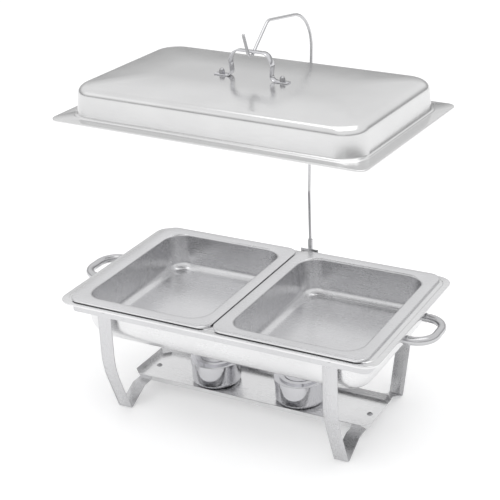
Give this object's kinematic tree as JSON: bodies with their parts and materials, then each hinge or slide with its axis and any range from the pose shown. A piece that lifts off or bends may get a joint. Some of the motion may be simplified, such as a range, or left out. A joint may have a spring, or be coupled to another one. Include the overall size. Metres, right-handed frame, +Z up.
{
  "type": "chafing dish",
  "caption": "Rectangular stainless chafing dish: two half-size food pans in a water pan on a strip frame with fuel cups, its domed lid hung on a bent wire holder.",
  "frame": {"origin": "centre of the base of the whole object's bounding box, on the surface the feet stand on", "axes": "+Z up, +X along the dish to the right, +Y across the dish to the back, where the lid holder stands"},
  "size_m": [0.652, 0.3682, 0.6506],
  "materials": {
    "pressed_steel": "satin polished sheet",
    "strip_steel": "satin",
    "polished_steel": "bright polished",
    "fastener_steel": "bright"
  },
  "bodies": {
    "stand": {"frame_band": "strip_steel", "leg_strap_left": "strip_steel", "leg_strap_right": "strip_steel", "leg_screws": "fastener_steel", "leg_nuts": "fastener_steel", "fuel_tray": "strip_steel", "tray_screws": "fastener_steel", "tray_nuts": "fastener_steel", "handle_left": "polished_steel", "handle_right": "polished_steel", "handle_brackets_left": "strip_steel", "handle_brackets_right": "strip_steel", "handle_pins": "fastener_steel", "bracket_rivets": "fastener_steel", "holder_bracket": "strip_steel", "holder_bracket_screws": "fastener_steel", "holder_bracket_nuts": "fastener_steel", "holder_socket": "strip_steel", "socket_screw": "fastener_steel"},
    "water_pan": {"water_pan": "pressed_steel"},
    "food_pan_left": {"food_pan_left": "pressed_steel"},
    "food_pan_right": {"food_pan_right": "pressed_steel"},
    "lid_holder": {"holder_rod": "polished_steel"},
    "lid": {"lid": "pressed_steel", "lid_handle": "pressed_steel", "lid_handle_screws": "fastener_steel", "lid_handle_nuts": "fastener_steel"},
    "fuel_cup_left": {"fuel_cup_left": "polished_steel"},
    "cup_cover_left": {"cup_cover_left": "polished_steel", "snuffer_rivet_left": "fastener_steel"},
    "snuffer_left": {"snuffer_left": "polished_steel"},
    "fuel_cup_right": {"fuel_cup_right": "polished_steel"},
    "cup_cover_right": {"cup_cover_right": "polished_steel", "snuffer_rivet_right": "fastener_steel"},
    "snuffer_right": {"snuffer_right": "polished_steel"}
  },
  "joints": [
    {"name": "water_pan_lift", "type": "slide", "parent": "stand", "child": "water_pan", "axis": [0, 0, 1], "range_m": [0, 0.1]},
    {"name": "food_pan_left_lift", "type": "slide", "parent": "water_pan", "child": "food_pan_left", "axis": [0, 0, 1], "range_m": [0, 0.075]},
    {"name": "food_pan_right_lift", "type": "slide", "parent": "water_pan", "child": "food_pan_right", "axis": [0, 0, 1], "range_m": [0, 0.075]},
    {"name": "lid_holder_turn", "type": "hinge", "parent": "stand", "child": "lid_holder", "pos_m": [0.013, 0.16314, 0.22], "axis": [0, 0, 1], "range_deg": [-90, 90]},
    {"name": "lid_swing", "type": "hinge", "parent": "lid_holder", "child": "lid", "pos_m": [0.00543, -0.0103, 0.616], "axis": [0.999, -0.0436, 0], "range_deg": [-8, 8]},
    {"name": "fuel_cup_left_lift", "type": "slide", "parent": "stand", "child": "fuel_cup_left", "axis": [0, 0, 1], "range_m": [0, 0.035]},
    {"name": "cup_cover_left_lift", "type": "slide", "parent": "fuel_cup_left", "child": "cup_cover_left", "axis": [0, 0, 1], "range_m": [0, 0.018]},
    {"name": "snuffer_left_turn", "type": "hinge", "parent": "cup_cover_left", "child": "snuffer_left", "pos_m": [-0.055, -0.01346, 0.0698], "axis": [0, 0, 1], "range_deg": [0, 120]},
    {"name": "fuel_cup_right_lift", "type": "slide", "parent": "stand", "child": "fuel_cup_right", "axis": [0, 0, 1], "range_m": [0, 0.035]},
    {"name": "cup_cover_right_lift", "type": "slide", "parent": "fuel_cup_right", "child": "cup_cover_right", "axis": [0, 0, 1], "range_m": [0, 0.018]},
    {"name": "snuffer_right_turn", "type": "hinge", "parent": "cup_cover_right", "child": "snuffer_right", "pos_m": [0.106, -0.01346, 0.0698], "axis": [0, 0, 1], "range_deg": [0, 120]}
  ]
}
